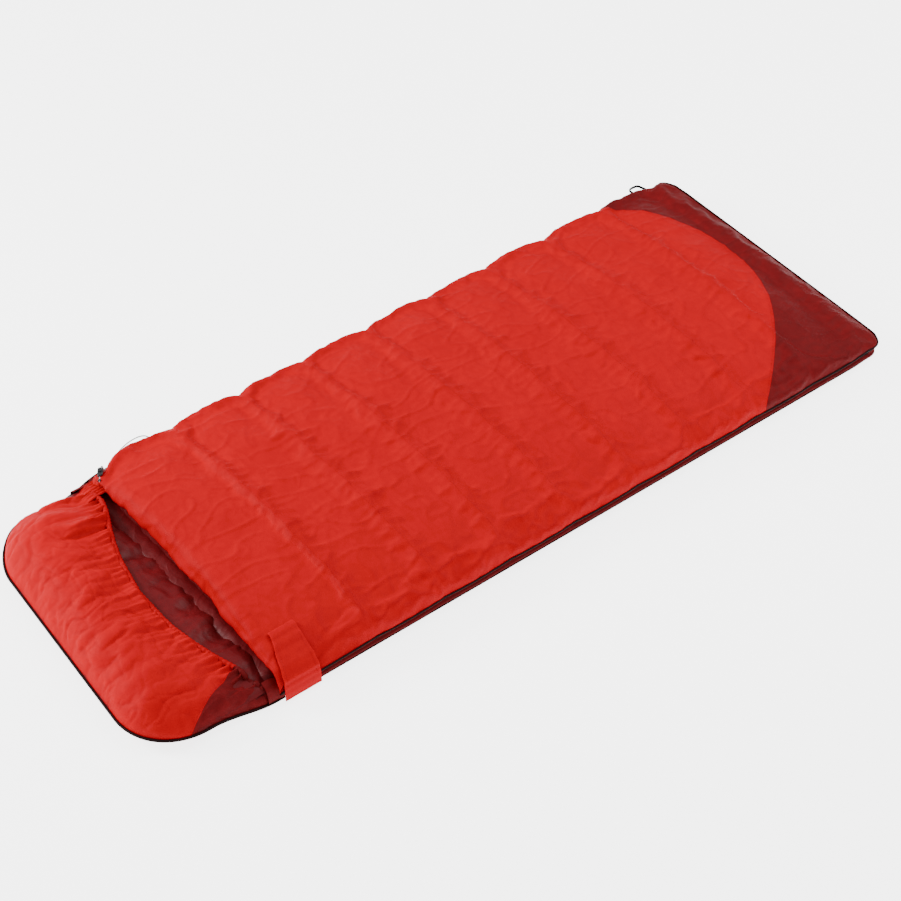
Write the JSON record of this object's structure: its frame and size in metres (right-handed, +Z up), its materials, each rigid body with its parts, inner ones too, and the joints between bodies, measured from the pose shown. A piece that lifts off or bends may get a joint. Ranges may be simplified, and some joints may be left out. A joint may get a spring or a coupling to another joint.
{
  "type": "rectangular sleeping bag",
  "caption": "Rectangular down sleeping bag with a drawcord hood, lying zipped shut: quilted top and bottom, side and foot zip, flap and cord lock.",
  "frame": {"origin": "middle of the underside, on the plane the bag lies on", "axes": "+Y towards the foot, +X towards the side zip, +Z up"},
  "size_m": [0.9195, 2.2188, 0.1353],
  "materials": {
    "red_nylon": "fine nylon taffeta with a soft sheen",
    "maroon_nylon": "fine nylon taffeta with a soft sheen",
    "lining_nylon": "smooth lining nylon",
    "down": "loose down",
    "black_tape": "woven tape",
    "black_coil": "nylon coil",
    "black_plastic": "moulded",
    "black_metal": "black enamel",
    "grey_cord": "braided, flecked",
    "spring_steel": "drawn wire"
  },
  "bodies": {
    "base": {"bottom_shell": "maroon_nylon", "bottom_fill": "down", "bottom_lining": "lining_nylon", "neck_band": "maroon_nylon", "lower_tape": "black_tape", "lower_coil": "black_coil", "far_piping": "maroon_nylon", "hang_loop": "black_tape", "loop_strip": "black_tape", "shoulder_gusset": "maroon_nylon", "cord_exit": "black_plastic", "free_cord": "grey_cord", "cord_tip": "black_plastic"},
    "top_quilt": {"top_shell": "red_nylon", "foot_panel": "maroon_nylon", "top_fill": "down", "top_lining": "lining_nylon", "head_band": "red_nylon", "upper_tape": "black_tape", "upper_coil": "black_coil", "draft_tube": "lining_nylon"},
    "hood": {"hood_back_shell": "maroon_nylon", "hood_back_fill": "down", "hood_back_lining": "lining_nylon", "hood_neck_band": "maroon_nylon", "hood_shell": "red_nylon", "hood_fill": "down", "hood_lining": "lining_nylon", "face_band": "maroon_nylon", "face_hem": "red_nylon", "drawcord": "grey_cord", "hood_piping": "maroon_nylon"},
    "side_slider": {"side_slider": "black_metal"},
    "side_pull": {"side_pull": "black_metal"},
    "foot_slider": {"foot_slider": "black_metal"},
    "foot_pull": {"foot_pull": "black_metal"},
    "flap": {"zip_flap": "red_nylon", "hook_strip": "black_tape"},
    "cord_lock": {"cord_lock": "black_plastic", "lock_spring": "spring_steel"},
    "lock_button": {"lock_button": "black_plastic"}
  },
  "joints": [
    {"name": "quilt_open", "type": "hinge", "parent": "base", "child": "top_quilt", "pos_m": [-0.4043, 0, 0.055], "axis": [0, -1, 0], "range_deg": [0, 140]},
    {"name": "hood_tilt", "type": "hinge", "parent": "base", "child": "hood", "pos_m": [0, -0.7605, 0.043], "axis": [-1, 0, 0], "range_deg": [0, 25]},
    {"name": "side_slide", "type": "slide", "parent": "base", "child": "side_slider", "axis": [0, 1, 0], "range_m": [0, 1.7]},
    {"name": "side_pull_swing", "type": "hinge", "parent": "side_slider", "child": "side_pull", "pos_m": [0.41085, -0.6478, 0.028], "axis": [0, 0, -1], "range_deg": [0, 150]},
    {"name": "foot_slide", "type": "slide", "parent": "base", "child": "foot_slider", "axis": [0.9994, 0, -0.0333], "range_m": [0, 0.69]},
    {"name": "foot_pull_swing", "type": "hinge", "parent": "foot_slider", "child": "foot_pull", "pos_m": [-0.3378, 1.11085, 0.05276], "axis": [0.0333, 0, 0.9994], "range_deg": [0, 170]},
    {"name": "flap_lift", "type": "hinge", "parent": "top_quilt", "child": "flap", "pos_m": [0.315, -0.7, 0.1103], "axis": [0, -0.9917, -0.1282], "range_deg": [0, 80]},
    {"name": "lock_slide", "type": "slide", "parent": "base", "child": "cord_lock", "axis": [0.8, -0.6, 0], "range_m": [0, 0.01]},
    {"name": "button_press", "type": "slide", "parent": "cord_lock", "child": "lock_button", "axis": [0, 0, -1], "range_m": [0, 0.003], "stiffness_N_per_m": 200, "springref_m": -0.001, "deforming": ["lock_spring"]}
  ]
}
